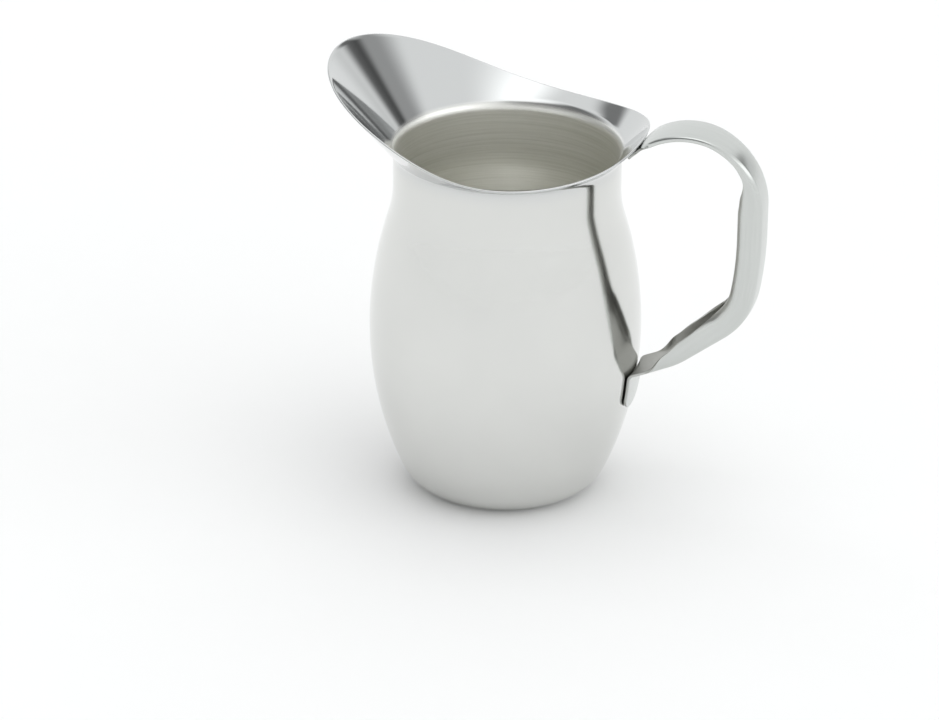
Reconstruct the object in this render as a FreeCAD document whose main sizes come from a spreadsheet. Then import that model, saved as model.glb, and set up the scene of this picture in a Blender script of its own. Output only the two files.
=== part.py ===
import FreeCAD, Part
import math
import os
import Sketcher
from FreeCAD import Placement, Rotation, Vector

# A stainless water pitcher, in millimetres. +Z is up, the spout points to -X and the handle to +X.
# The origin is the centre of the flat base. The pitcher is symmetric about the XZ plane.

SIZES = [
    # The drawn body, measured on its outside
    ("wall", 1.0, "thickness of the body's sheet"),
    ("foot_radius", 35.7, "radius of the flat base"),
    ("foot_corner", 17.5, "radius of the arc that joins base and side"),
    ("belly_radius", 68.0, "largest radius of the body"),
    ("belly_height", 85.2, "height of the largest radius"),
    ("belly_arc", 195.0, "radius of the arc from the belly up to the shoulder"),
    ("neck_radius", 56.5, "radius of the straight neck"),
    ("neck_start", 160.2, "height where the neck becomes straight"),
    ("neck_top", 176.5, "height where the collar starts to flare"),
    # The flared collar and spout
    ("flare_radius", 6.0, "outside radius of the bend from neck to collar"),
    ("root_depth", 1.0, "how far the collar's root reaches down inside the neck's wall"),
    ("root_inset", 0.1, "how far the root stands inside the wall's two faces"),
    # The handle's strip
    ("strip", 1.4, "thickness of the handle's strip"),
    ("weld_gap", 0.2, "gap between strip and body, filled by the spot welds"),
    ("under_collar", 11.0, "length of strip that lies under the collar"),
    ("tab_round", 7.0, "length of the rounded end of the lower tab"),
    ("tab_tip", 2.5, "half width left at the very end of the rounded tab"),
    ("weld_radius", 2.2, "radius of one spot weld"),
    ("weld_bury", 0.05, "how far a weld reaches into the sheets it joins"),
    ("weld_spacing", 6.0, "distance between the two welds of a pair"),
]

# Reach and height of the middle of the rim every 30 degrees, from the spout's tip round to the handle
RIM = [(89.0, 221.5), (85.5, 214.5), (74.5, 198.0), (68.5, 186.5), (68.0, 185.5), (70.0, 190.0), (69.0, 193.5)]

# The outer face of the handle runs along these stretches: name, length, turn to the left in degrees
STRETCHES = [
    ("shoulder", 9.0, -21.6),
    ("crest", 77.3, -116.6),
    ("grip", 13.5, 0.0),
    ("bow", 32.8, -9.6),
    ("elbow", 26.7, -43.7),
    ("leg", 24.0, 0.0),
    ("knee", 10.0, -14.0),
    ("shin", 18.53, 0.0),
    ("heel", 2.5, 61.83),
    ("tab", 18.0, -5.69),
]

COLLAR_STEP = 10  # degrees between the collar's sections
LOFT_STEP, LOFT_TURN = 6.0, 14.0  # greatest distance and turn between the handle's sections
CROWN = 5.0  # degrees that the strip leans by the end of its web
FOLD_POINTS, FOLD_FINE = 14, 12  # points on half of a face, and steps between two of them

# The strip's folded shape at stations along the handle. From the middle outwards, half of it is a web,
# a corner, a wall and a curled lip: at, web, corner, corner_turn, side, lip, lip_turn (mm and degrees)
STATIONS = [
    ("tip", 0.0, 3.4, 1.0, 0.0, 0.4, 0.2, 0.0),
    ("root", 9.0, 7.0, 1.2, 0.0, 0.5, 0.2, 0.0),
    ("strap", 18.0, 11.0, 2.4, 84.0, 0.7, 0.2, 0.0),
    ("crown", 46.0, 10.2, 2.4, 88.0, 0.7, 0.2, 0.0),
    ("bevel", 62.0, 8.0, 4.2, 88.0, 0.4, 0.2, 0.0),
    ("fold", 76.0, 6.6, 5.2, 88.0, 1.2, 0.4, 10.0),
    ("close", 91.0, 5.9, 5.7, 90.0, 4.6, 4.6, 80.0),
    ("hold", 100.0, 5.9, 5.7, 90.0, 5.4, 6.4, 105.0),
    ("ease", 140.0, 5.9, 5.7, 90.0, 5.2, 6.2, 100.0),
    ("open", 162.0, 6.4, 5.4, 88.0, 5.6, 5.6, 86.0),
    ("notch", 174.0, 7.7, 5.0, 86.0, 6.4, 2.6, 40.0),
    ("slope", 188.0, 9.0, 4.5, 84.0, 6.6, 0.6, 6.0),
    ("flatten", 203.0, 10.0, 3.7, 75.0, 5.0, 0.2, 0.0),
    ("flat", 217.0, 11.2, 1.2, 12.0, 0.4, 0.2, 0.0),
    ("end", 246.0, 10.4, 1.0, 0.0, 0.3, 0.2, 0.0),
]
QUANTITIES = ("at", "web", "corner", "corner_turn", "side", "lip", "lip_turn")

doc = FreeCAD.newDocument("water_pitcher")
sheet = doc.addObject("Spreadsheet::Sheet", "sizes")

cells = list(SIZES)
for k, (reach, height) in enumerate(RIM):
    cells.append(("rim_reach_%d" % (30 * k), reach, "reach of the rim from the axis"))
    cells.append(("rim_height_%d" % (30 * k), height, "height of the rim"))
for name, length, turn in STRETCHES:
    cells.append(("path_%s_length" % name, length, "length of the handle's %s" % name))
    cells.append(("path_%s_turn" % name, turn, "turn of the handle's %s, degrees" % name))
for name, *values in STATIONS:
    for quantity, value in zip(QUANTITIES, values):
        cells.append(("fold_%s_%s" % (name, quantity), value, "%s of the strip at the %s" % (quantity, name)))
for row, (alias, value, note) in enumerate(cells, start=1):
    sheet.set("A%d" % row, alias)
    sheet.set("B%d" % row, str(value))
    sheet.set("C%d" % row, note)
    sheet.setAlias("B%d" % row, alias)
doc.recompute()


def size(alias):
    return float(sheet.get(alias))


wall = size("wall")
neck_radius = size("neck_radius")
neck_top = size("neck_top")
belly_radius = size("belly_radius")
belly_height = size("belly_height")


# Body: a turned jug, then hollowed from its open top ---------------------------------------------

def lower_arc_radius():
    # The arc below the belly is upright at the belly and touches the foot's corner arc
    across = belly_radius - size("foot_radius")
    rise = belly_height - size("foot_corner")
    corner = size("foot_corner")
    return (across**2 + rise**2 - corner**2) / (2 * (across - corner))


def shoulder_arc_radius():
    # The hollow arc of the shoulder touches the belly's arc and is upright where the neck starts
    step = belly_radius - neck_radius
    rise = size("neck_start") - belly_height
    arc = size("belly_arc")
    return ((arc - step)**2 + rise**2 - arc**2) / (2 * step)


def add_turned_jug():
    body = doc.addObject("PartDesign::Body", "turned_jug")
    sketch = body.newObject("Sketcher::SketchObject", "outline")
    plane = [item for item in body.Origin.OriginFeatures if item.Role == "XZ_Plane"][0]
    sketch.AttachmentSupport = (plane, "")
    sketch.MapMode = "FlatFace"

    foot_radius, corner = size("foot_radius"), size("foot_corner")
    belly_arc, neck_start = size("belly_arc"), size("neck_start")
    lower_arc, shoulder_arc = lower_arc_radius(), shoulder_arc_radius()
    corner_turn = math.asin((belly_height - corner) / (lower_arc - corner))
    shoulder_turn = math.asin((neck_start - belly_height) / (belly_arc + shoulder_arc))

    def arc(centre_x, centre_y, radius, start, end):
        circle = Part.Circle(Vector(centre_x, centre_y, 0), Vector(0, 0, 1), radius)
        return sketch.addGeometry(Part.ArcOfCircle(circle, start, end), False)

    def line(x1, y1, x2, y2):
        return sketch.addGeometry(Part.LineSegment(Vector(x1, y1, 0), Vector(x2, y2, 0)), False)

    foot = line(0, 0, foot_radius, 0)
    toe = arc(foot_radius, corner, corner, -math.pi / 2, -corner_turn)
    lower = arc(belly_radius - lower_arc, belly_height, lower_arc, -corner_turn, 0)
    upper = arc(belly_radius - belly_arc, belly_height, belly_arc, 0, shoulder_turn)
    shoulder = arc(neck_radius + shoulder_arc, neck_start, shoulder_arc, math.pi, math.pi + shoulder_turn)
    neck = line(neck_radius, neck_start, neck_radius, neck_top)
    top = line(neck_radius, neck_top, 0, neck_top)
    axis = line(0, neck_top, 0, 0)

    start, end, centre, origin = 1, 2, 3, (-1, 1)

    def fix(kind, alias, *where):
        index = sketch.addConstraint(Sketcher.Constraint(kind, *where, size(alias)))
        sketch.setExpression("Constraints[%d]" % index, "sizes.%s" % alias)

    def join(kind, *where):
        sketch.addConstraint(Sketcher.Constraint(kind, *where))

    join("Coincident", foot, start, *origin)
    join("Horizontal", foot)
    fix("DistanceX", "foot_radius", *origin, foot, end)
    join("Tangent", foot, end, toe, start)
    fix("Radius", "foot_corner", toe)
    join("Tangent", toe, end, lower, start)
    fix("DistanceY", "belly_height", *origin, lower, centre)
    fix("DistanceX", "belly_radius", *origin, lower, end)
    fix("DistanceY", "belly_height", *origin, lower, end)
    join("Tangent", lower, end, upper, start)
    fix("Radius", "belly_arc", upper)
    join("Tangent", upper, end, shoulder, end)
    join("Tangent", shoulder, start, neck, start)
    join("Vertical", neck)
    fix("DistanceX", "neck_radius", *origin, neck, start)
    fix("DistanceY", "neck_start", *origin, neck, start)
    fix("DistanceY", "neck_top", *origin, neck, end)
    join("Coincident", neck, end, top, start)
    join("Horizontal", top)
    join("Coincident", top, end, axis, start)
    join("Coincident", axis, end, *origin)
    join("Vertical", axis)

    turned = body.newObject("PartDesign::Revolution", "turned")
    turned.Profile = sketch
    turned.ReferenceAxis = (sketch, ["V_Axis"])
    turned.Angle = 360
    doc.recompute()

    hollow = body.newObject("PartDesign::Thickness", "hollow")
    faces = turned.Shape.Faces
    highest = max(range(len(faces)), key=lambda index: faces[index].CenterOfMass.z)
    hollow.Base = (turned, ["Face%d" % (highest + 1)])
    hollow.Reversed = True
    hollow.setExpression("Value", "sizes.wall")
    body.Tip = hollow
    doc.recompute()
    return body


# Collar: the flared rim and spout, lofted round one half and mirrored -----------------------------

def ring_value(stations, angle):
    # The cosine series that passes through stations spaced evenly from 0 to 180 degrees
    last = len(stations) - 1
    share = [0.5 if k in (0, last) else 1.0 for k in range(last + 1)]
    total = 0.0
    for k in range(last + 1):
        term = sum(share[j] * stations[j] * math.cos(math.pi * j * k / last) for j in range(last + 1))
        total += share[k] * 2 / last * term * math.cos(k * angle)
    return total


def collar_slope(reach, height):
    # Slope of the straight line from the flare's arc to the rim, in the middle of the sheet
    radius = size("flare_radius") + wall / 2
    across = reach - (neck_radius - wall / 2 + radius)
    rise = height - neck_top
    return math.atan2(rise, across) - math.asin(radius / math.hypot(across, rise))


def collar_section(angle):
    reach = ring_value([size("rim_reach_%d" % (30 * k)) for k in range(len(RIM))], angle)
    height = ring_value([size("rim_height_%d" % (30 * k)) for k in range(len(RIM))], angle)
    slope = collar_slope(reach, height)
    middle = neck_radius + size("flare_radius")
    inset, root = size("root_inset"), size("root_depth")

    def place(r, z):
        return Vector(-r * math.cos(angle), r * math.sin(angle), z)

    def on_arc(radius, turn):
        return place(middle - radius * math.cos(turn), neck_top + inset + radius * math.sin(turn))

    def on_rim(offset, forward=0.0):
        return place(reach + offset * math.sin(slope) + forward * math.cos(slope),
                     height - offset * math.cos(slope) + forward * math.sin(slope))

    def side(radius, offset, face):
        # root, flare and slope of one face, from the bottom up
        turn = math.pi / 2 - slope
        foot = place(face, neck_top - root)
        lip = place(face, neck_top)
        first, last = on_arc(radius, 0), on_arc(radius, turn)
        return [
            Part.makeLine(foot, lip),
            Part.makeLine(lip, first),
            Part.Arc(first, on_arc(radius, turn / 2), last).toShape(),
            Part.makeLine(last, on_rim(offset)),
        ]

    outer = side(size("flare_radius"), wall / 2, neck_radius - inset)
    inner = side(size("flare_radius") + wall, -wall / 2, neck_radius - wall + inset)
    edge = Part.Arc(on_rim(wall / 2), on_rim(0, wall / 2), on_rim(-wall / 2)).toShape()
    bottom = Part.makeLine(place(neck_radius - wall + inset, neck_top - root),
                           place(neck_radius - inset, neck_top - root))
    edges = outer + [edge] + inner[::-1] + [bottom]
    return Part.Wire(Part.__sortEdges__(edges))


def add_collar_half():
    half = doc.addObject("Part::Feature", "collar_half")
    angles = range(0, 180 + COLLAR_STEP, COLLAR_STEP)
    half.Shape = Part.makeLoft([collar_section(math.radians(angle)) for angle in angles], True)
    return half


def add_body_shell(jug):
    half = add_collar_half()
    other = doc.addObject("Part::Mirroring", "collar_other_half")
    other.Source = half
    other.Normal = Vector(0, 1, 0)
    shell = doc.addObject("Part::MultiFuse", "body_shell")
    shell.Shapes = [jug, half, other]
    shell.Label = "body_shell"
    return shell


# Handle: a strip whose folded section changes along a path of lines and arcs -----------------------

def handle_start():
    # The strip starts under the collar, a weld gap away from its underside
    reach, height = size("rim_reach_180"), size("rim_height_180")
    slope = collar_slope(reach, height)
    offset = wall / 2 + size("weld_gap")
    back = size("under_collar")
    x = reach + offset * math.sin(slope) - back * math.cos(slope)
    z = height - offset * math.cos(slope) - back * math.sin(slope)
    return x, z, slope


def handle_stretches():
    stretches = [(size("under_collar"), 0.0)]
    for name, length, turn in STRETCHES:
        turn = math.radians(size("path_%s_turn" % name))
        stretches.append((size("path_%s_length" % name), turn))
    return stretches


def handle_length():
    return sum(length for length, turn in handle_stretches())


def handle_frame(at):
    # Point of the outer face's middle line, and the direction it runs in, at a distance along it
    x, z, heading = handle_start()
    for length, turn in handle_stretches():
        part = min(at, length)
        if turn == 0.0:
            x += part * math.cos(heading)
            z += part * math.sin(heading)
        else:
            radius = length / turn
            bend = part / radius
            x += radius * (math.sin(heading + bend) - math.sin(heading))
            z += radius * (math.cos(heading) - math.cos(heading + bend))
            heading += bend
        at -= part
        if at <= 0:
            break
    return x, z, heading


def fold_slope(rows, k, q):
    # Slope of a quantity at a station: the harmonic mean of the slopes beside it, or 0 at a peak, dip or end
    if k in (0, len(rows) - 1):
        return 0.0
    before = (rows[k][q] - rows[k - 1][q]) / (rows[k][0] - rows[k - 1][0])
    after = (rows[k + 1][q] - rows[k][q]) / (rows[k + 1][0] - rows[k][0])
    return 2 * before * after / (before + after) if before * after > 0 else 0.0


def fold_values(at):
    # Each quantity follows a cubic curve from one station to the next
    rows = [[size("fold_%s_%s" % (name, quantity)) for quantity in QUANTITIES] for name, *rest in STATIONS]
    k = max(j for j in range(len(rows) - 1) if at >= rows[j][0])
    gap = rows[k + 1][0] - rows[k][0]
    t = (at - rows[k][0]) / gap
    values = []
    for q in range(1, len(QUANTITIES)):
        value = rows[k][q] * (1 + 2 * t) * (1 - t)**2 + rows[k + 1][q] * t**2 * (3 - 2 * t)
        bend = fold_slope(rows, k, q) * (1 - t) - fold_slope(rows, k + 1, q) * t
        values.append(value + gap * t * (1 - t) * bend)
    return values


def fold_points(at):
    # Half of the strip's outer face and inner face as (across, in) points, walked from the middle
    web, corner, corner_turn, side, lip, lip_turn = fold_values(at)
    whole = web + corner + side + lip
    left = handle_length() - at
    if left < size("tab_round"):
        share = 1 - left / size("tab_round")
        narrow = math.sqrt(max(0.0, 1 - share * share))
        whole = max(size("tab_tip"), whole * narrow)
    outer, inner = [], []
    across, depth = 0.0, 0.0
    step = whole / (FOLD_POINTS * FOLD_FINE)
    for k in range(FOLD_POINTS * FOLD_FINE + 1):
        walked = k * step
        angle = math.radians(CROWN) * min(1.0, walked / web)
        angle += math.radians(corner_turn) * min(1.0, max(0.0, (walked - web) / corner))
        angle += math.radians(lip_turn) * min(1.0, max(0.0, (walked - web - corner - side) / lip))
        if k % FOLD_FINE == 0:
            outer.append((across, depth))
            inner.append((across - size("strip") * math.sin(angle), depth + size("strip") * math.cos(angle)))
        across += step * math.cos(angle)
        depth += step * math.sin(angle)
    return outer, inner


def handle_section(at):
    x, z, heading = handle_frame(at)

    def place(across, depth):
        return Vector(x + depth * math.sin(heading), across, z - depth * math.cos(heading))

    def smooth(points):
        row = [place(-across, depth) for across, depth in points[:0:-1]]
        row += [place(across, depth) for across, depth in points]
        curve = Part.BSplineCurve()
        curve.interpolate(row)
        return curve.toShape(), row

    outer, inner = fold_points(at)
    outer_edge, outer_row = smooth(outer)
    inner_edge, inner_row = smooth(inner)
    left = Part.makeLine(inner_row[0], outer_row[0])
    right = Part.makeLine(outer_row[-1], inner_row[-1])
    return Part.Wire([outer_edge, right, inner_edge, left])


def add_handle():
    handle = doc.addObject("Part::Feature", "handle")
    ends = [0.0]
    stops = [0.0]
    for stretch, turn in handle_stretches():
        ends.append(ends[-1] + stretch)
        pieces = math.ceil(max(stretch / LOFT_STEP, abs(turn) / math.radians(LOFT_TURN)))
        stops += [ends[-2] + stretch * k / pieces for k in range(1, pieces + 1)]
    handle.Shape = Part.makeLoft([handle_section(stop) for stop in stops], True, True)
    handle.Label = "handle"
    return handle


# Spot welds: pairs of small discs that fill the gap between strip and body ------------------------

def add_spot_welds(label, places):
    # Each place is a point in the middle of the gap and the direction across it
    discs = []
    for k, (point, across) in enumerate(places):
        disc = doc.addObject("Part::Cylinder", "%s_disc_%d" % (label, k + 1))
        disc.setExpression("Radius", "sizes.weld_radius")
        disc.setExpression("Height", "sizes.weld_gap + 2 * sizes.weld_bury")
        half_height = size("weld_gap") / 2 + size("weld_bury")
        disc.Placement = Placement(point - across * half_height, Rotation(Vector(0, 0, 1), across))
        discs.append(disc)
    pair = doc.addObject("Part::Compound", label)
    pair.Links = discs
    pair.Label = label
    return pair


def gap_place(at, depth):
    # A point at a depth below the handle's outer face, and the direction of depth
    x, z, heading = handle_frame(at)
    inward = Vector(math.sin(heading), 0, -math.cos(heading))
    return Vector(x, 0, z) + inward * depth, inward


def add_upper_welds():
    middle = size("under_collar") / 2
    spread = size("weld_spacing") / 2
    return add_spot_welds("upper_spot_welds", [gap_place(middle + side * spread, -size("weld_gap") / 2)
                                               for side in (-1, 1)])


def add_lower_welds():
    middle = handle_length() - size("path_tab_length") / 2
    spread = size("weld_spacing") / 2
    depth = size("strip") + size("weld_gap") / 2
    return add_spot_welds("lower_spot_welds", [gap_place(middle + side * spread, depth) for side in (-1, 1)])


jug = add_turned_jug()
nodes = [add_body_shell(jug), add_handle(), add_upper_welds(), add_lower_welds()]
doc.recompute()

for item in doc.Objects:
    if "Invalid" in item.State or "Error" in item.State:
        raise RuntimeError("%s failed: %s" % (item.Label, item.State))
for node in nodes:
    if node.Shape.isNull() or not node.Shape.isValid():
        raise RuntimeError("%s has no valid shape" % node.Label)

os.makedirs("parts", exist_ok=True)
for node in nodes:
    node.Shape.exportStep("parts/%s.step" % node.Label)
    print(node.Label, len(node.Shape.Solids), "solids", round(node.Shape.Volume), "mm3")
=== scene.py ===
import math
import bpy
import numpy as np
from mathutils import Matrix, Vector


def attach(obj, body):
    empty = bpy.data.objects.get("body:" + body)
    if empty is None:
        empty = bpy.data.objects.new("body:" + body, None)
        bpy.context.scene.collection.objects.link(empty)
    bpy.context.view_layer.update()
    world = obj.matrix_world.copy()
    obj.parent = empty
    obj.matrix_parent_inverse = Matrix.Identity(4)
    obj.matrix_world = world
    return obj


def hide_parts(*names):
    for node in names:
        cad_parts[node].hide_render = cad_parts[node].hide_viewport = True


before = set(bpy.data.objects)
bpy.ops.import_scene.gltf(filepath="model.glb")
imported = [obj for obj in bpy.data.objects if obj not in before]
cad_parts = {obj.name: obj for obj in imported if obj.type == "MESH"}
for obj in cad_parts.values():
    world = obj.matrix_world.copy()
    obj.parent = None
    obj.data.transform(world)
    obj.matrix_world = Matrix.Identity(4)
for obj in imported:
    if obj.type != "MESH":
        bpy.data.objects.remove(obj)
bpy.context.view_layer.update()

scene = bpy.context.scene
scene.view_settings.view_transform = "Standard"
scene.cycles.glossy_bounces = 12  # the curled strip and the body reflect each other
metre = 0.001  # the shapes below are in millimetres and become metres in makeMesh


# camera

cameraSet = {
    "azimuth": 16.0,          # degrees from -Y towards +X
    "elevation": 26.443,
    "distance": 2.600,
    "aim": (-0.017776, 0.064055),  # to the right of the axis, and height
    "roll": 0.539,
    "lens": 196.13,
    "sensor": 36.0,
    "far": 50.0,
}


def makeCamera(s):
    # The camera stands on a sphere round the origin, looks at the aim point and is turned about its own axis
    az, el, roll = (math.radians(s[k]) for k in ("azimuth", "elevation", "roll"))
    outward = Vector((math.sin(az) * math.cos(el), -math.cos(az) * math.cos(el), math.sin(el)))
    place = outward * s["distance"]
    aim = Vector((math.cos(az) * s["aim"][0], math.sin(az) * s["aim"][0], s["aim"][1]))
    forward = (aim - place).normalized()
    right = forward.cross(Vector((0, 0, 1))).normalized()
    up = right.cross(forward)
    turnedRight = right * math.cos(roll) + up * math.sin(roll)
    turnedUp = up * math.cos(roll) - right * math.sin(roll)
    data = bpy.data.cameras.new("camera")
    data.sensor_width, data.lens, data.clip_end = s["sensor"], s["lens"], s["far"]
    camera = bpy.data.objects.new("camera", data)
    turn = Matrix((turnedRight, turnedUp, -forward)).transposed()
    camera.matrix_world = Matrix.Translation(place) @ turn.to_4x4()
    scene.collection.objects.link(camera)
    scene.camera = camera


# shader graphs

class Wire:
    # One output socket; sums, products and the like add Math nodes to its graph
    def __init__(self, graph, socket):
        self.graph, self.socket = graph, socket

    def math(self, operation, *values, clamp=False):
        return self.graph.add("Math", {"operation": operation, "use_clamp": clamp}, dict(enumerate(values)))

    def __add__(self, other): return self.math("ADD", self, other)
    def __radd__(self, other): return self.math("ADD", other, self)
    def __sub__(self, other): return self.math("SUBTRACT", self, other)
    def __rsub__(self, other): return self.math("SUBTRACT", other, self)
    def __mul__(self, other): return self.math("MULTIPLY", self, other)
    def __rmul__(self, other): return self.math("MULTIPLY", other, self)

    def clip(self):
        return self.math("MULTIPLY", self, 1.0, clamp=True)

    def between(self, low, high):
        # 0 below low, 1 above high, smooth in between
        return self.graph.add("MapRange", {"interpolation_type": "SMOOTHSTEP"},
                              {"Value": self, "From Min": low, "From Max": high})


class Graph:
    # The nodes of a material or a world
    def __init__(self, owner):
        self.owner = owner
        owner.use_nodes = True
        self.nodes, self.links = owner.node_tree.nodes, owner.node_tree.links
        self.nodes.clear()

    def add(self, kind, settings=None, sockets=None, out=0):
        # Adds a node, sets it up, then fills its sockets with values or wires
        node = self.nodes.new("ShaderNode" + kind)
        for key, value in (settings or {}).items():
            setattr(node, key, value)
        for key, value in (sockets or {}).items():
            if isinstance(value, Wire):
                self.links.new(value.socket, node.inputs[key])
            else:
                node.inputs[key].default_value = value
        return Wire(self, node.outputs[out]) if node.outputs else node

    def attribute(self, name):
        return self.add("Attribute", {"attribute_name": name}, out="Fac")

    def place(self):
        return self.add("TexCoord", out="Object")

    def vector(self, x, y, z):
        return self.add("CombineXYZ", None, {"X": x, "Y": y, "Z": z})

    def parts(self, vector):
        # The X, Y and Z of a vector
        node = self.add("SeparateXYZ", None, {0: vector}).socket.node
        return [Wire(self, node.outputs[axis]) for axis in "XYZ"]

    def noise(self, where, scale, detail=2.0, roughness=0.5):
        return self.add("TexNoise", None, {"Vector": where, "Scale": scale, "Detail": detail,
                                           "Roughness": roughness})

    def blend(self, factor, low, high):
        # A colour between two colours
        return self.add("Mix", {"data_type": "RGBA"}, {"Factor": factor, "A": low, "B": high}, out=2)

    def bump(self, height, strength, distance):
        return self.add("Bump", None, {"Height": height, "Strength": strength, "Distance": distance})

    def metal(self, colour, roughness, normal):
        sockets = {"Base Color": colour, "Metallic": 1.0, "Roughness": roughness, "Normal": normal}
        return self.finish(self.add("BsdfPrincipled", None, sockets))

    def finish(self, shader, output="OutputMaterial"):
        self.add(output, None, {"Surface": shader})
        return self.owner


def tone(r, g, b):
    return (r, g, b, 1.0)


# body: one drawn sheet from the flat base up to the spout and back down inside

bodySizes = {
    "wall": 1.0,
    "footRadius": 35.7, "footCorner": 17.5,
    "bellyRadius": 68.0, "bellyHeight": 85.2, "bellyArc": 195.0,
    "neckRadius": 56.5, "neckStart": 160.2, "neckTop": 176.5,
    "flareRadius": 6.0,
    "rimReach": (89.0, 85.5, 74.5, 68.5, 68.0, 70.0, 69.0),       # every 30 degrees from the spout
    "rimHeight": (221.5, 214.5, 198.0, 186.5, 185.5, 190.0, 193.5),
    "satinTop": 181.0,         # height where the satin inside meets the polished collar
    "satinBlend": 1.5,
    "around": 240,
    # foot, toe, lower, upper, shoulder, neck, flare, collar, edge
    "steps": (10, 14, 44, 26, 26, 8, 12, 26, 8),
}


def ringValue(stations, angle):
    # The cosine series that passes through stations spaced evenly from 0 to 180 degrees
    last = len(stations) - 1
    order = np.arange(last + 1)
    share = np.where((order == 0) | (order == last), 0.5, 1.0)
    table = np.cos(np.pi * np.outer(order, order) / last)
    terms = share * (table @ (share * np.array(stations))) * 2 / last
    return np.cos(np.multiply.outer(angle, order)) @ terms


def arcPoints(centre, radius, start, end, steps):
    # Points on a circle between two angles, without the first
    turn = np.linspace(start, end, steps + 1)[1:]
    return centre[0] + radius * np.cos(turn), centre[1] + radius * np.sin(turn)


def jugProfile(s, inward):
    # The turned profile from the axis up to the neck's top, moved inward by a distance. Foot line, toe arc,
    # lower arc, upper arc, hollow shoulder arc and neck line, each tangent to the next
    step, rise = s["bellyRadius"] - s["footRadius"], s["bellyHeight"] - s["footCorner"]
    corner, belly = s["footCorner"], s["bellyArc"]
    lower = (step**2 + rise**2 - corner**2) / (2 * (step - corner))
    narrow, climb = s["bellyRadius"] - s["neckRadius"], s["neckStart"] - s["bellyHeight"]
    shoulder = ((belly - narrow)**2 + climb**2 - belly**2) / (2 * narrow)
    toeTurn = math.asin(rise / (lower - corner))
    shoulderTurn = math.asin(climb / (belly + shoulder))
    foot, toe, low, high, over, neck = s["steps"][:6]
    half = math.pi / 2
    runs = [
        (np.linspace(0, s["footRadius"], foot + 1), np.full(foot + 1, inward)),
        arcPoints((s["footRadius"], corner), corner - inward, -half, -toeTurn, toe),
        arcPoints((s["bellyRadius"] - lower, s["bellyHeight"]), lower - inward, -toeTurn, 0, low),
        arcPoints((s["bellyRadius"] - belly, s["bellyHeight"]), belly - inward, 0, shoulderTurn, high),
        arcPoints((s["neckRadius"] + shoulder, s["neckStart"]), shoulder + inward,
                  math.pi + shoulderTurn, math.pi, over),
        (np.full(neck, s["neckRadius"] - inward),
         np.linspace(s["neckStart"], s["neckTop"], neck + 1)[1:]),
    ]
    return np.concatenate([r for r, z in runs]), np.concatenate([z for r, z in runs])


def collarProfile(s, angle):
    # For every angle: a bend out of the neck, a straight slope to the rim, and the sheet's half-round edge.
    # Gives outer, edge and inner points as radius and height, one row for each angle
    wall = s["wall"]
    middle = s["flareRadius"] + wall / 2
    reach, height = ringValue(s["rimReach"], angle)[:, None], ringValue(s["rimHeight"], angle)[:, None]
    out, up = reach - (s["neckRadius"] - wall / 2 + middle), height - s["neckTop"]
    slope = np.arctan2(up, out) - np.arcsin(middle / np.hypot(out, up))
    flare, straight, edge = s["steps"][6:]
    centre = s["neckRadius"] + s["flareRadius"]
    turn = (np.pi / 2 - slope) * np.linspace(0, 1, flare + 1)[None, 1:]
    share = np.linspace(0, 1, straight + 1)[None, 1:]

    def face(radius, offset):
        arcR, arcZ = centre - radius * np.cos(turn), s["neckTop"] + radius * np.sin(turn)
        endR, endZ = reach + offset * np.sin(slope), height - offset * np.cos(slope)
        lineR = arcR[:, -1:] + share * (endR - arcR[:, -1:])
        lineZ = arcZ[:, -1:] + share * (endZ - arcZ[:, -1:])
        return np.hstack([arcR, lineR]), np.hstack([arcZ, lineZ])

    outer = face(s["flareRadius"], wall / 2)
    inner = face(s["flareRadius"] + wall, -wall / 2)
    roll = np.linspace(0, np.pi, edge + 1)[None, 1:-1]
    forward, side = np.sin(roll) * wall / 2, np.cos(roll) * wall / 2
    edgeR = reach + side * np.sin(slope) + forward * np.cos(slope)
    edgeZ = height - side * np.cos(slope) + forward * np.sin(slope)
    return outer, (edgeR, edgeZ), inner


def makeMesh(name, points, faces, values):
    # Points in millimetres; values are float attributes, one number for each point
    mesh = bpy.data.meshes.new(name)
    mesh.from_pydata((points * metre).tolist(), [], faces)
    for key, numbers in values.items():
        attribute = mesh.attributes.new(key, "FLOAT", "POINT")
        attribute.data.foreach_set("value", np.ravel(numbers).astype(np.float32))
    mesh.polygons.foreach_set("use_smooth", np.ones(len(mesh.polygons), dtype=bool))
    mesh.update()
    piece = bpy.data.objects.new(name, mesh)
    scene.collection.objects.link(piece)
    return piece


def gridFaces(rows, columns):
    # Quads between neighbouring rows of a grid whose last column joins its first
    column = np.arange(columns)
    beside = (column + 1) % columns
    start = (np.arange(rows - 1) * columns)[:, None]
    below = start + columns
    quads = np.stack([start + column, below + column, below + beside, start + beside], -1)
    return quads.reshape(-1, 4).tolist()


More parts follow.
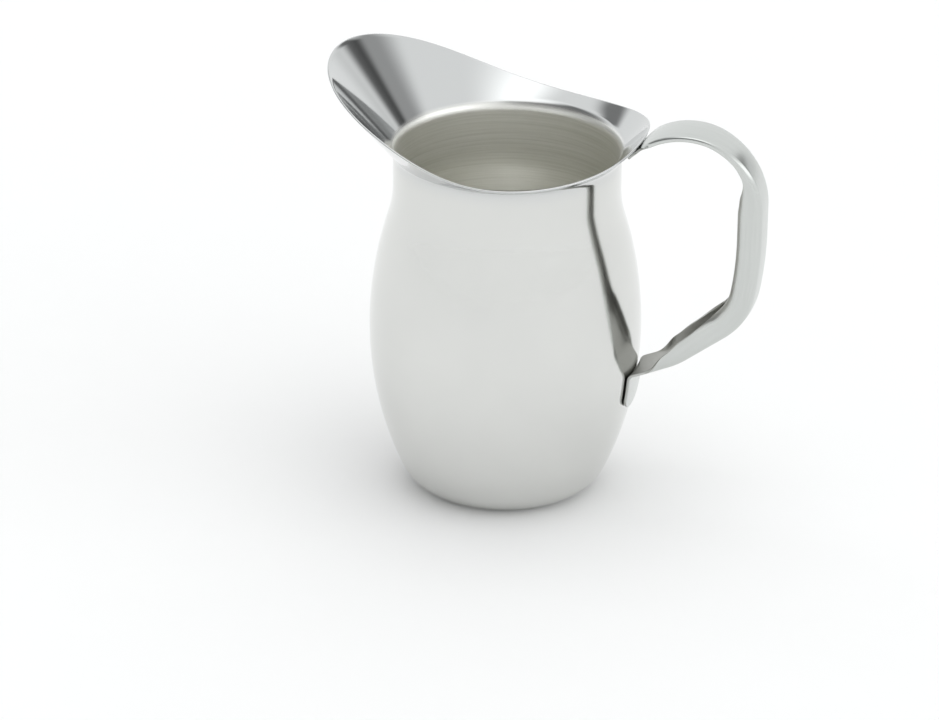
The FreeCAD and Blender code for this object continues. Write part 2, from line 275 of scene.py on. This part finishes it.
def makeBody(s):
    # Profile rows run from the outside base centre over the rim to the inside base centre; columns run round
    # the axis. Height and radius come from the profiles, x is -radius * cos(angle) and y is radius * sin(angle)
    angle = np.linspace(0, 2 * np.pi, s["around"], endpoint=False)
    outer, edge, inner = collarProfile(s, angle)
    count = s["around"]
    rings = np.ones((count, 1))
    outR, outZ = jugProfile(s, 0.0)
    inR, inZ = jugProfile(s, s["wall"])
    radius = np.hstack([rings * outR, outer[0], edge[0], inner[0][:, ::-1], rings * inR[::-1]]).T
    height = np.hstack([rings * outZ, outer[1], edge[1], inner[1][:, ::-1], rings * inZ[::-1]]).T
    stretch = np.hypot(np.diff(radius, axis=0), np.diff(height, axis=0))
    along = np.vstack([np.zeros(count), np.cumsum(stretch, 0)])
    topRow = len(outR) + outer[0].shape[1] + edge[0].shape[1] // 2
    row = np.arange(len(radius))[:, None]
    along = np.minimum(along, along[-1] - along)  # distance from the nearer base centre, outside or inside
    satin = np.clip((s["satinTop"] - height) / s["satinBlend"] + 0.5, 0, 1)
    inside = np.where(row > topRow, satin, 0.0)
    points = np.stack([-radius * np.cos(angle), radius * np.sin(angle), height], -1)
    # The first and last rows are single points, each joined to the row beside it by a fan
    drawn = points[1:-1].reshape(-1, 3)
    foot, floor = len(drawn), len(drawn) + 1
    points = np.vstack([drawn, points[0, :1], points[-1, :1]])
    faces = gridFaces(len(radius) - 2, count)
    column = np.arange(count)
    beside = (column + 1) % count
    last = foot - count
    faces += np.stack([column, beside, np.full(count, foot)], -1).tolist()
    faces += np.stack([last + beside, last + column, np.full(count, floor)], -1).tolist()
    values = {
        "along": np.append(along[1:-1].ravel(), [0.0, 0.0]) * metre,
        "inside": np.append(inside[1:-1].ravel(), [0.0, 1.0]),
    }
    return makeMesh("pitcher_body", points, faces, values)


# handle: a folded strip along a path of arcs

handleSizes = {
    "strip": 1.4,
    "start": (62.1826, 184.8390, 48.151),  # where its outer face begins, and the direction in degrees
    "edge": 0.35,              # rounding of the strip's cut edges
    "crown": 5.0,              # degrees that the web leans by its corner
    "tabRound": 7.0, "tabTip": 2.5,
    "dullFrom": (96.0, 135.0),  # degrees of fold over which the polish gives way to dull steel
    "dullEdge": 0.5,
    # length and turn of each run: under the collar, shoulder, crest, grip, bow, elbow,
    # leg, knee, shin, heel, tab
    "path": ((11.0, 0.0), (9.0, -21.6), (77.3, -116.6), (13.5, 0.0), (32.8, -9.6), (26.7, -43.7),
             (24.0, 0.0), (10.0, -14.0), (18.53, 0.0), (2.5, 61.83), (18.0, -5.69)),
    # distance along, then half widths of web, corner, its turn, wall, lip, its turn
    "folds": (
        (0.0, 3.4, 1.0, 0.0, 0.4, 0.2, 0.0),
        (9.0, 7.0, 1.2, 0.0, 0.5, 0.2, 0.0),
        (18.0, 11.0, 2.4, 84.0, 0.7, 0.2, 0.0),
        (46.0, 10.2, 2.4, 88.0, 0.7, 0.2, 0.0),
        (62.0, 8.0, 4.2, 88.0, 0.4, 0.2, 0.0),
        (76.0, 6.6, 5.2, 88.0, 1.2, 0.4, 10.0),
        (91.0, 5.9, 5.7, 90.0, 4.6, 4.6, 80.0),
        (100.0, 5.9, 5.7, 90.0, 5.4, 6.4, 105.0),
        (140.0, 5.9, 5.7, 90.0, 5.2, 6.2, 100.0),
        (162.0, 6.4, 5.4, 88.0, 5.6, 5.6, 86.0),
        (174.0, 7.7, 5.0, 86.0, 6.4, 2.6, 40.0),
        (188.0, 9.0, 4.5, 84.0, 6.6, 0.6, 6.0),
        (203.0, 10.0, 3.7, 75.0, 5.0, 0.2, 0.0),
        (217.0, 11.2, 1.2, 12.0, 0.4, 0.2, 0.0),
        (246.0, 10.4, 1.0, 0.0, 0.3, 0.2, 0.0),
    ),
    "rows": 420,
    "columns": 44,             # steps on half of the outer face
    "fine": 12,                # steps of the running sum between two of its points
    "edgeSteps": 4,
}


def pathFrames(s, at):
    # Point and direction at distances along the path. On a run of constant bend the chord is its length
    # times sin(half bend) / half bend, pointing half the bend away from the run's first direction
    lengths = np.array([length for length, turn in s["path"]])
    turns = np.radians([turn for length, turn in s["path"]])
    first = math.radians(s["start"][2]) + np.concatenate([[0], np.cumsum(turns)[:-1]])

    def chord(part, bend, heading):
        long = part * np.sinc(bend / (2 * np.pi))
        return long * np.cos(heading + bend / 2), long * np.sin(heading + bend / 2)

    stepX, stepZ = chord(lengths, turns, first)
    startX = s["start"][0] + np.concatenate([[0], np.cumsum(stepX)[:-1]])
    startZ = s["start"][1] + np.concatenate([[0], np.cumsum(stepZ)[:-1]])
    starts = np.concatenate([[0], np.cumsum(lengths)[:-1]])
    run = np.clip(np.searchsorted(starts, at, side="right") - 1, 0, len(lengths) - 1)
    part = at - starts[run]
    bend = turns[run] * part / lengths[run]
    dx, dz = chord(part, bend, first[run])
    return startX[run] + dx, startZ[run] + dz, first[run] + bend


def foldTable(s, at):
    # Every fold quantity follows cubic curves through the stations. Its slope at a station is the harmonic
    # mean of the slopes beside it, or 0 at a peak, dip or end
    table = np.array(s["folds"])
    where, value = table[:, :1], table[:, 1:]
    rise = np.diff(value, axis=0) / np.diff(where, axis=0)
    product, total = rise[1:] * rise[:-1], rise[1:] + rise[:-1]
    flat = np.zeros((1, value.shape[1]))
    steady = product > 0
    slope = np.vstack([flat, np.where(steady, 2 * product / np.where(steady, total, 1), 0), flat])
    k = np.clip(np.searchsorted(where[:, 0], at, side="right") - 1, 0, len(table) - 2)
    gap = where[k + 1] - where[k]
    t = (at[:, None] - where[k]) / gap
    plain = value[k] * (1 + 2 * t) * (1 - t)**2 + value[k + 1] * t**2 * (3 - 2 * t)
    return (plain + gap * t * (1 - t) * (slope[k] * (1 - t) - slope[k + 1] * t)).T


def makeHandle(s):
    # Rows run along the path. Each row is a closed loop: outer face from edge to edge, then back along the
    # inner face. The face leans more and more over the web, the corner and the lip, and its points are the
    # running sum of small steps in that direction
    length = sum(run[0] for run in s["path"])
    at = np.linspace(0, length, s["rows"])
    web, corner, cornerTurn, side, lip, lipTurn = (q[:, None] for q in foldTable(s, at))
    whole = web + corner + side + lip
    share = 1 - np.clip((length - at) / s["tabRound"], 0, 1)[:, None]
    rounded = s["tabTip"] + (whole - s["tabTip"]) * np.sqrt(1 - share**2)
    whole = np.maximum(rounded, s["tabTip"]) - s["edge"]
    fine, half = s["fine"], s["columns"]
    walked = whole * np.linspace(0, 1, half * fine + 1)[None, :]
    lean = np.radians(s["crown"]) * np.clip(walked / web, 0, 1)
    lean = lean + np.radians(cornerTurn) * np.clip((walked - web) / corner, 0, 1)
    lean = lean + np.radians(lipTurn) * np.clip((walked - web - corner - side) / lip, 0, 1)
    step = whole / (half * fine)
    middle = (lean[:, 1:] + lean[:, :-1]) / 2
    zero = np.zeros((len(at), 1))
    across = np.hstack([zero, np.cumsum(np.cos(middle) * step, 1)])[:, ::fine]
    depth = np.hstack([zero, np.cumsum(np.sin(middle) * step, 1)])[:, ::fine]
    lean, walked = lean[:, ::fine], walked[:, ::fine]

    def inFace(distance, thick):
        # Points beside the last one, a distance further along the face and a thickness in
        d, t, a = distance[None, :], thick[None, :], lean[:, -1:]
        beyond, below = d * np.cos(a) - t * np.sin(a), d * np.sin(a) + t * np.cos(a)
        return across[:, -1:] + beyond, depth[:, -1:] + below

    strip, edge = s["strip"], s["edge"]
    bend = np.linspace(0, np.pi / 2, s["edgeSteps"] + 1)[1:]
    endOut, endIn = edge * np.sin(bend), edge * (1 - np.cos(bend))
    upperEdge = inFace(endOut, endIn)
    tip = inFace(np.array([edge]), np.array([strip / 2]))
    lowerEdge = inFace(endOut[::-1], strip - endIn[::-1])
    innerAcross, innerDepth = across - strip * np.sin(lean), depth + strip * np.cos(lean)
    # Half of the loop: from the middle of the outer face round the edge to the middle of the inner face
    halfA = np.hstack([across, upperEdge[0], tip[0], lowerEdge[0], innerAcross[:, ::-1]])
    halfD = np.hstack([depth, upperEdge[1], tip[1], lowerEdge[1], innerDepth[:, ::-1]])
    onEdge = np.ones((1, len(bend) * 2 + 1))
    halfW = np.hstack([walked, walked[:, -1:] * onEdge, walked[:, ::-1]])
    # 0 on the polished faces, 1 on the dull inner face and on the curled lips; there the colour is darker,
    # partly mill steel and partly painted shade
    dullFrom, dullTo = s["dullFrom"]
    curl = np.clip((np.degrees(lean) - dullFrom) / (dullTo - dullFrom), 0, 1)
    halfDull = np.hstack([curl, np.maximum(curl[:, -1:], s["dullEdge"]) * onEdge, np.ones_like(lean)])
    loopA = np.hstack([halfA, -halfA[:, -2:0:-1]])
    loopD = np.hstack([halfD, halfD[:, -2:0:-1]])
    loopW = np.hstack([halfW, -halfW[:, -2:0:-1]])
    dull = np.hstack([halfDull, halfDull[:, -2:0:-1]])
    x, z, heading = (q[:, None] for q in pathFrames(s, at))
    points = np.stack([x + loopD * np.sin(heading), loopA, z - loopD * np.cos(heading)], -1)
    rows, columns = loopA.shape
    faces = gridFaces(rows, columns)
    # Each end is closed by quads between the outer face and the inner face
    size = halfA.shape[1] - 1
    k = np.arange(size // 2 - 1)
    right = np.stack([k, k + 1, size - k - 1, size - k], -1)
    left = np.stack([size + k, size + k + 1, columns - k - 1, (columns - k) % columns], -1)
    corners = np.array([[-1, 0, 1], [-1, 0, 1]]) + [[size // 2], [size + size // 2]]
    lastRow = (rows - 1) * columns
    for cap in (np.vstack([right, left]), corners):
        faces += cap.tolist() + (lastRow + cap[:, ::-1]).tolist()
    values = {"along": np.repeat(at[:, None], columns, 1) * metre, "across": loopW * metre, "dull": dull}
    return makeMesh("pitcher_handle", points.reshape(-1, 3), faces, values)


# finishes

bodyFinish = {
    "ringScale": (14.0, 900.0),        # turned lines: round the axis, and along the profile
    "bandScale": (6.0, 260.0),
    "hazeScale": 22.0, "speckScale": 900.0,
    "collarFrom": (0.170, 0.182),      # heights in metres where the finer polish of the collar and its painted shade set in
    "polished": (0.10, 0.05, 0.015, 0.06),  # roughness: base, haze, specks, and less on the collar
    "turned": (0.32, 0.16),            # roughness: base and lines
    "clean": (tone(0.665, 0.67, 0.655), tone(0.735, 0.74, 0.72)),
    # darker collar tone: painted shade, the dim reflection of the shadowed floor under the collar
    "collar": tone(0.63, 0.64, 0.64),
    "satin": (tone(0.87, 0.87, 0.83), tone(1.0, 0.995, 0.965)),
    "contrast": (0.3, 0.7),
    "grooves": (0.7, 0.6, 0.02),       # height of the bands, of all lines inside, and of the specks
    "bump": (0.35, 0.00012),
}


def polishedAndSatin(s):
    # Polished sheet outside and on the collar, turned satin inside
    g = Graph(bpy.data.materials.new("polished_and_satin_steel"))
    place, along, satin = g.place(), g.attribute("along"), g.attribute("inside").clip()
    x, y, z = g.parts(place)

    def ringed(scale):
        return g.vector(x * scale[0], y * scale[0], along * scale[1])

    lines = g.noise(ringed(s["ringScale"]), 1.0, 4.0, 0.7)
    bands = g.noise(ringed(s["bandScale"]), 1.0, 2.0, 0.5)
    haze = g.noise(place, s["hazeScale"], 3.0, 0.6)
    specks = g.noise(place, s["speckScale"], 2.0, 0.7)
    collar = z.between(*s["collarFrom"])
    base, hazy, speckled, finer = s["polished"]
    polished = base + haze * hazy + specks * speckled - collar * finer
    turned = s["turned"][0] + lines * s["turned"][1]
    roughness = polished * (1 - satin) + turned * satin
    # the collar mask darkens the polished colour here as painted shade
    clean = g.blend(collar, g.blend(haze, *s["clean"]), s["collar"])
    dull = g.blend(lines.between(*s["contrast"]), *s["satin"])
    bandHeight, lineHeight, speckHeight = s["grooves"]
    grooves = (lines + bands * bandHeight) * satin * lineHeight + specks * speckHeight
    return g.metal(g.blend(satin, clean, dull), roughness, g.bump(grooves, *s["bump"]))


handleFinish = {
    "grainScale": (60.0, 2600.0),      # along and across the strip
    "streakScale": (30.0, 700.0),
    "hazeScale": 30.0, "millScale": 700.0,
    "soft": (0.15, 0.10, 0.06),        # roughness: base, grain and haze
    "mill": (0.30, 0.12),              # roughness: base and mill grain
    "mixture": (0.4, 0.6),             # streak and grain in the colour
    "bright": (tone(0.51, 0.53, 0.515), tone(0.70, 0.715, 0.70)),
    # mill steel of the inner face and lips, darkened partly as painted shade inside the curled channel
    "mattAndShade": (tone(0.36, 0.36, 0.34), tone(0.50, 0.50, 0.475)),
    "millHeight": 2.0,
    "bump": (0.12, 0.00005),
}


def brushedStrip(s):
    # Handle strip with a soft grain that runs along it, and dull mill steel inside, whose darker colour is
    # partly painted shade of the channel
    g = Graph(bpy.data.materials.new("satin_strip_steel"))
    place, along, across, dull = g.place(), g.attribute("along"), g.attribute("across"), g.attribute("dull")

    def drawn(scale, shift):
        return g.vector(along * scale[0], across * scale[1], shift)

    grain = g.noise(drawn(s["grainScale"], 0.0), 1.0, 3.0, 0.6)
    streak = g.noise(drawn(s["streakScale"], 3.0), 1.0, 2.0, 0.5)
    haze = g.noise(place, s["hazeScale"], 3.0, 0.6)
    mill = g.noise(place, s["millScale"], 3.0, 0.7)
    base, grainy, hazy = s["soft"]
    soft = base + grain * grainy + haze * hazy
    coarse = s["mill"][0] + mill * s["mill"][1]
    roughness = soft * (1 - dull) + coarse * dull
    bright = g.blend(streak * s["mixture"][0] + grain * s["mixture"][1], *s["bright"])
    # darker colour of the inner face and lips: partly mill steel, partly painted shade
    mattAndShade = g.blend(mill, *s["mattAndShade"])
    height = grain * (1 - dull) + mill * dull * s["millHeight"]
    return g.metal(g.blend(dull, bright, mattAndShade), roughness, g.bump(height, *s["bump"]))


weldFinish = {
    "rippleScale": 2500.0, "cloudScale": 500.0,
    "colours": (tone(0.30, 0.29, 0.28), tone(0.42, 0.41, 0.42)),
    "roughness": (0.35, 0.2),
    "bump": (0.3, 0.00005),
}


def weldNugget(s):
    # Grey, slightly blued steel of the spot welds
    g = Graph(bpy.data.materials.new("weld_nugget_steel"))
    place = g.place()
    ripple = g.noise(place, s["rippleScale"], 2.0, 0.6)
    cloud = g.noise(place, s["cloudScale"], 2.0, 0.5)
    roughness = s["roughness"][0] + ripple * s["roughness"][1]
    return g.metal(g.blend(cloud, *s["colours"]), roughness, g.bump(ripple, *s["bump"]))


# floor and light

studio = {
    "floorTones": (tone(0.94, 0.94, 0.94), tone(0.95, 0.95, 0.95)),
    "floorGrain": 40.0, "floorRoughness": 0.9,
    "floorReach": 6,
    "tint": (0.99, 1.0, 1.0, 1.0),
    "lamp": 0.52,
    "lampAngle": 70.0,
    "lampTilt": (14.0, -10.0),
    "horizon": 1.0,           # brightness of the backdrop, and below it of the ceiling overhead
    "ceiling": 1.75,
    "ceilingFrom": (54.0, 86.0),
    # five dark screens and one bright panel: azimuth range and its softness, elevation range and its
    # softness, and the share of the light that is left there
    "screens": (
        (112.0, 146.0, 8.0, 14.0, 33.0, 6.0, 0.42),
        (135.0, 155.0, 4.0, 14.0, 21.5, 2.5, 0.21),
        (126.0, 158.0, 6.0, 1.0, 12.0, 3.0, 0.80),
        (-105.0, 22.0, 14.0, 24.0, 64.0, 7.0, 0.22),
        (-142.0, -120.0, 4.0, 30.0, 44.0, 4.0, 0.25),
        (52.0, 113.0, 5.0, 13.5, 31.0, 3.0, 1.8),
    ),
}


def makeStudio(s):
    # The light from a direction depends on its azimuth and elevation: the backdrop's brightness eases into the
    # ceiling's, and every screen multiplies it by its share where it stands
    g = Graph(bpy.data.worlds.new("studio"))
    x, y, z = g.parts(g.add("TexCoord", out="Generated"))
    elevation = z.math("ARCSINE", z) * (180 / math.pi)
    azimuth = x.math("ARCTAN2", x, y * -1.0) * (180 / math.pi)
    light = s["horizon"] + elevation.between(*s["ceilingFrom"]) * (s["ceiling"] - s["horizon"])
    for left, right, fade, bottom, top, blur, share in s["screens"]:
        mask = azimuth.between(left - fade, left + fade)
        mask = mask * (1 - azimuth.between(right - fade, right + fade))
        mask = mask * elevation.between(bottom - blur, bottom + blur)
        mask = mask * (1 - elevation.between(top - blur, top + blur))
        light = light * (1 - mask * (1 - share))
    backdrop = g.add("Background", None, {"Color": s["tint"], "Strength": light})
    scene.world = g.finish(backdrop, "OutputWorld")
    g = Graph(bpy.data.materials.new("pale_floor"))
    colour = g.blend(g.noise(g.place(), s["floorGrain"]), *s["floorTones"])
    shader = g.add("BsdfPrincipled", None, {"Base Color": colour, "Roughness": s["floorRoughness"]})
    reach = s["floorReach"]
    mesh = bpy.data.meshes.new("floor")
    corners = [(-reach, -reach, 0), (reach, -reach, 0), (reach, reach, 0), (-reach, reach, 0)]
    mesh.from_pydata(corners, [], [(0, 1, 2, 3)])
    mesh.materials.append(g.finish(shader))
    floor = bpy.data.objects.new("floor", mesh)
    scene.collection.objects.link(floor)
    # The lamp overhead lights the floor and leaves the metal's reflections alone
    lamp = bpy.data.lights.new("overhead", "SUN")
    lamp.energy, lamp.angle = s["lamp"], math.radians(s["lampAngle"])
    light = bpy.data.objects.new("overhead", lamp)
    light.rotation_euler = [math.radians(tilt) for tilt in (*s["lampTilt"], 0.0)]
    light.visible_glossy = False
    scene.collection.objects.link(light)


makeCamera(cameraSet)
makeStudio(studio)
print("camera and studio ready")

body = makeBody(bodySizes)
body.data.materials.append(polishedAndSatin(bodyFinish))
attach(body, "root")
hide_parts("body_shell")
print("body ready:", len(body.data.polygons), "faces")

handle = makeHandle(handleSizes)
handle.data.materials.append(brushedStrip(handleFinish))
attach(handle, "root")
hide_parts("handle")
print("handle ready:", len(handle.data.polygons), "faces")

weldSteel = weldNugget(weldFinish)
for node in ("upper_spot_welds", "lower_spot_welds"):
    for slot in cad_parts[node].material_slots:
        slot.material = weldSteel
print("welds ready")
